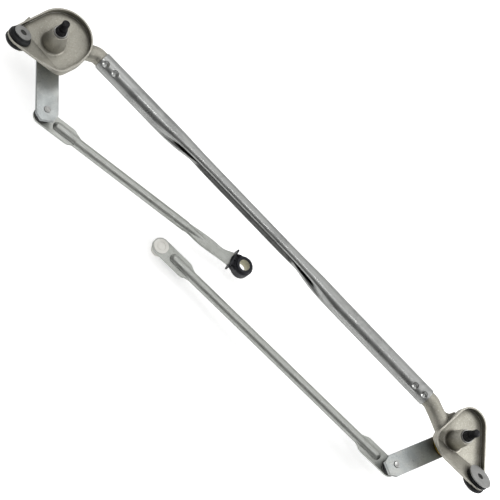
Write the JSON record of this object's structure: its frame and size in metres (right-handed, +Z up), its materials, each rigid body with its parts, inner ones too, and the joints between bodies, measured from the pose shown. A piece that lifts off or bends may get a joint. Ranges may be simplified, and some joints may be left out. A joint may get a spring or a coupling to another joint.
{
  "type": "windshield wiper linkage",
  "caption": "Wiper transmission: frame tube between two cast pivot brackets, with spindles, crank arms and ball-jointed link rods to a motor.",
  "frame": {"origin": "centre of the left spindle's thread, on the spindle's axis", "axes": "+X along the frame tube from the left pivot to the right, +Z up out of the brackets towards the wiper arms, +Y away from the link rods"},
  "size_m": [0.8359, 0.1481, 0.1262],
  "materials": {
    "cast_alloy": "raw die-cast, fine grain",
    "zinc_tube": "zinc-coated, drawn",
    "zinc_link": "zinc-coated, rolled",
    "zinc_crank": "bright zinc, mottled",
    "black_steel": "black oxide, satin",
    "bright_steel": "machined",
    "black_rubber": "matt moulded",
    "black_plastic": "moulded",
    "ivory_nylon": "moulded nylon",
    "white_nylon": "moulded nylon",
    "bronze": "sintered bearing metal",
    "yellow_zinc": "yellow passivated"
  },
  "bodies": {
    "frame": {"frame_tube": "zinc_tube", "left_pivot_bracket": "cast_alloy", "left_upper_bush": "bronze", "left_lower_bush": "bronze", "left_spindle_seal": "black_rubber", "left_grommet": "black_rubber", "left_grommet_sleeve": "bright_steel", "right_pivot_bracket": "cast_alloy", "right_upper_bush": "bronze", "right_lower_bush": "bronze", "right_spindle_seal": "black_rubber", "right_grommet": "black_rubber", "right_grommet_sleeve": "bright_steel"},
    "left_pivot": {"left_spindle": "black_steel", "left_retaining_ring": "bright_steel", "left_thrust_washer": "yellow_zinc", "left_dust_washer": "black_rubber", "left_crank_arm": "zinc_crank", "left_ball_stud": "bright_steel"},
    "right_pivot": {"right_spindle": "black_steel", "right_retaining_ring": "bright_steel", "right_thrust_washer": "yellow_zinc", "right_dust_washer": "black_rubber", "right_crank_arm": "zinc_crank", "right_ball_stud": "bright_steel"},
    "left_link": {"left_link_rod": "zinc_link", "left_crank_socket": "white_nylon", "left_dust_boot": "black_rubber", "left_motor_eye": "black_plastic", "left_motor_liner": "ivory_nylon"},
    "right_link": {"right_link_rod": "zinc_link", "right_crank_socket": "white_nylon", "right_dust_boot": "black_rubber", "right_motor_socket": "white_nylon"}
  },
  "joints": [
    {"name": "left_pivot_turn", "type": "hinge", "parent": "frame", "child": "left_pivot", "pos_m": [0.00229, 0, -0.04594], "axis": [-0.0497, 0, 0.9988], "range_deg": [-80, 8]},
    {"name": "right_pivot_turn", "type": "hinge", "parent": "frame", "child": "right_pivot", "pos_m": [0.72029, 0, -0.04594], "axis": [0.0497, 0, 0.9988], "range_deg": [-8, 80]},
    {"name": "left_link_swing", "type": "hinge", "parent": "left_pivot", "child": "left_link", "pos_m": [0.05596, -0.06336, -0.07731], "axis": [-0.0497, 0, 0.9988], "range_deg": [-50, 75]},
    {"name": "right_link_swing", "type": "hinge", "parent": "right_pivot", "child": "right_link", "pos_m": [0.68218, -0.07345, -0.07809], "axis": [0.0497, 0, 0.9988], "range_deg": [-75, 50]}
  ]
}
